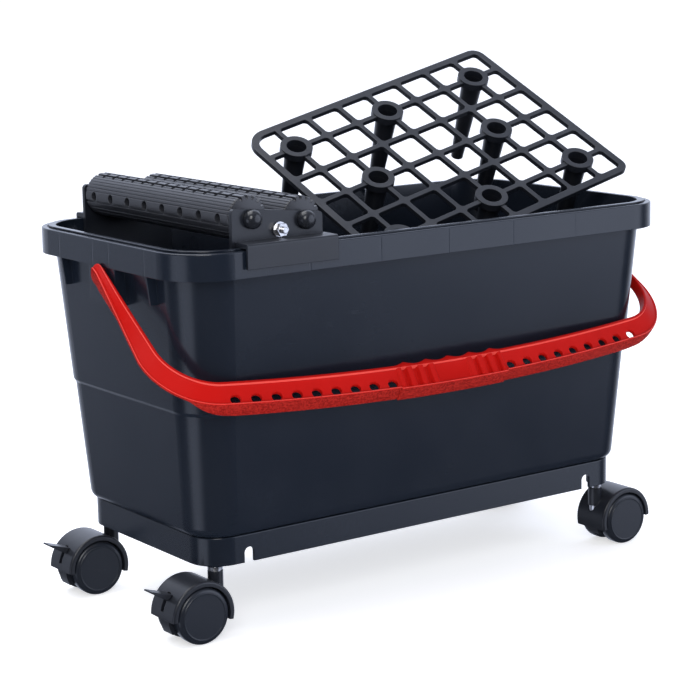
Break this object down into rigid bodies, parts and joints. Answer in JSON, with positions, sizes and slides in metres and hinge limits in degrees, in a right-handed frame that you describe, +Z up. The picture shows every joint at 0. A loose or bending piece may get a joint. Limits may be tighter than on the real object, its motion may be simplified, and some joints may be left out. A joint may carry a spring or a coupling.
{
  "type": "grout cleaning bucket",
  "caption": "Rectangular wash bucket on swivel casters, with a swinging bail, a hook-on roller wringer and a legged lift-out grid for rinsing grout floats.",
  "frame": {"origin": "on the floor under the middle of the tub", "axes": "+X along the tub towards the grid end, +Z up, the bail hangs over the -Y side"},
  "size_m": [0.5746, 0.2984, 0.4756],
  "materials": {
    "tub_plastic": "glossy anthracite moulding",
    "bail_plastic": "bright red moulding with a grained outer wall",
    "black_plastic": "satin black moulding",
    "cap_plastic": "glossy black",
    "wheel_plastic": "satin dark grey",
    "zinc_steel": "bright zinc plate"
  },
  "bodies": {
    "tub_base": {"tub": "tub_plastic", "base_frame": "tub_plastic"},
    "bail": {"handle": "bail_plastic", "handle_arms": "bail_plastic"},
    "wringer": {"wringer_bracket_front": "black_plastic", "wringer_bracket_rear": "black_plastic", "roller_axle_outer": "zinc_steel", "roller_axle_inner": "zinc_steel", "axle_caps": "cap_plastic", "tie_rod": "zinc_steel", "tie_nuts": "zinc_steel", "tie_washers": "zinc_steel"},
    "outer_roller": {"roller_outer": "black_plastic"},
    "inner_roller": {"roller_inner": "black_plastic"},
    "lift_out_grid": {"grid": "black_plastic", "grid_legs": "black_plastic"},
    "caster_front_left": {"caster_stem_front_left": "zinc_steel", "caster_hood_front_left": "black_plastic", "caster_axle_front_left": "zinc_steel"},
    "wheel_front_left_front": {"caster_wheel_front_left_front": "wheel_plastic"},
    "wheel_front_left_rear": {"caster_wheel_front_left_rear": "wheel_plastic"},
    "brake_front_left": {"brake_lever_front_left": "black_plastic"},
    "caster_rear_left": {"caster_stem_rear_left": "zinc_steel", "caster_hood_rear_left": "black_plastic", "caster_axle_rear_left": "zinc_steel"},
    "wheel_rear_left_front": {"caster_wheel_rear_left_front": "wheel_plastic"},
    "wheel_rear_left_rear": {"caster_wheel_rear_left_rear": "wheel_plastic"},
    "brake_rear_left": {"brake_lever_rear_left": "black_plastic"},
    "caster_front_right": {"caster_stem_front_right": "zinc_steel", "caster_hood_front_right": "black_plastic", "caster_axle_front_right": "zinc_steel"},
    "wheel_front_right_front": {"caster_wheel_front_right_front": "wheel_plastic"},
    "wheel_front_right_rear": {"caster_wheel_front_right_rear": "wheel_plastic"},
    "caster_rear_right": {"caster_stem_rear_right": "zinc_steel", "caster_hood_rear_right": "black_plastic", "caster_axle_rear_right": "zinc_steel"},
    "wheel_rear_right_front": {"caster_wheel_rear_right_front": "wheel_plastic"},
    "wheel_rear_right_rear": {"caster_wheel_rear_right_rear": "wheel_plastic"}
  },
  "joints": [
    {"name": "bail_swing", "type": "hinge", "parent": "tub_base", "child": "bail", "pos_m": [0, 0, 0.3105], "axis": [-1, 0, 0], "range_deg": [0, 125.3]},
    {"name": "wringer_lift", "type": "slide", "parent": "tub_base", "child": "wringer", "axis": [0, 0, 1], "range_m": [0, 0.18]},
    {"name": "outer_roller_spin", "type": "hinge", "parent": "wringer", "child": "outer_roller", "pos_m": [-0.1965, 0, 0.3636], "axis": [0, 1, 0], "continuous": true},
    {"name": "inner_roller_spin", "type": "hinge", "parent": "wringer", "child": "inner_roller", "pos_m": [-0.1425, 0, 0.3586], "axis": [0, 1, 0], "continuous": true},
    {"name": "grid_lift", "type": "slide", "parent": "tub_base", "child": "lift_out_grid", "axis": [0, 0, 1], "range_m": [0, 0.3]},
    {"name": "caster_front_left_swivel", "type": "hinge", "parent": "tub_base", "child": "caster_front_left", "pos_m": [-0.22, -0.091, 0.05], "axis": [0, 0, 1], "continuous": true},
    {"name": "wheel_front_left_front_spin", "type": "hinge", "parent": "caster_front_left", "child": "wheel_front_left_front", "pos_m": [-0.244, -0.091, 0.025], "axis": [0, 1, 0], "continuous": true},
    {"name": "wheel_front_left_rear_spin", "type": "hinge", "parent": "caster_front_left", "child": "wheel_front_left_rear", "pos_m": [-0.244, -0.091, 0.025], "axis": [0, 1, 0], "continuous": true},
    {"name": "brake_front_left_press", "type": "hinge", "parent": "caster_front_left", "child": "brake_front_left", "pos_m": [-0.266, -0.091, 0.042], "axis": [0, -1, 0], "range_deg": [0, 20]},
    {"name": "caster_rear_left_swivel", "type": "hinge", "parent": "tub_base", "child": "caster_rear_left", "pos_m": [-0.22, 0.091, 0.05], "axis": [0, 0, 1], "continuous": true},
    {"name": "wheel_rear_left_front_spin", "type": "hinge", "parent": "caster_rear_left", "child": "wheel_rear_left_front", "pos_m": [-0.244, 0.091, 0.025], "axis": [0, 1, 0], "continuous": true},
    {"name": "wheel_rear_left_rear_spin", "type": "hinge", "parent": "caster_rear_left", "child": "wheel_rear_left_rear", "pos_m": [-0.244, 0.091, 0.025], "axis": [0, 1, 0], "continuous": true},
    {"name": "brake_rear_left_press", "type": "hinge", "parent": "caster_rear_left", "child": "brake_rear_left", "pos_m": [-0.266, 0.091, 0.042], "axis": [0, -1, 0], "range_deg": [0, 20]},
    {"name": "caster_front_right_swivel", "type": "hinge", "parent": "tub_base", "child": "caster_front_right", "pos_m": [0.22, -0.091, 0.05], "axis": [0, 0, 1], "continuous": true},
    {"name": "wheel_front_right_front_spin", "type": "hinge", "parent": "caster_front_right", "child": "wheel_front_right_front", "pos_m": [0.244, -0.091, 0.025], "axis": [0, 1, 0], "continuous": true},
    {"name": "wheel_front_right_rear_spin", "type": "hinge", "parent": "caster_front_right", "child": "wheel_front_right_rear", "pos_m": [0.244, -0.091, 0.025], "axis": [0, 1, 0], "continuous": true},
    {"name": "caster_rear_right_swivel", "type": "hinge", "parent": "tub_base", "child": "caster_rear_right", "pos_m": [0.22, 0.091, 0.05], "axis": [0, 0, 1], "continuous": true},
    {"name": "wheel_rear_right_front_spin", "type": "hinge", "parent": "caster_rear_right", "child": "wheel_rear_right_front", "pos_m": [0.244, 0.091, 0.025], "axis": [0, 1, 0], "continuous": true},
    {"name": "wheel_rear_right_rear_spin", "type": "hinge", "parent": "caster_rear_right", "child": "wheel_rear_right_rear", "pos_m": [0.244, 0.091, 0.025], "axis": [0, 1, 0], "continuous": true}
  ]
}
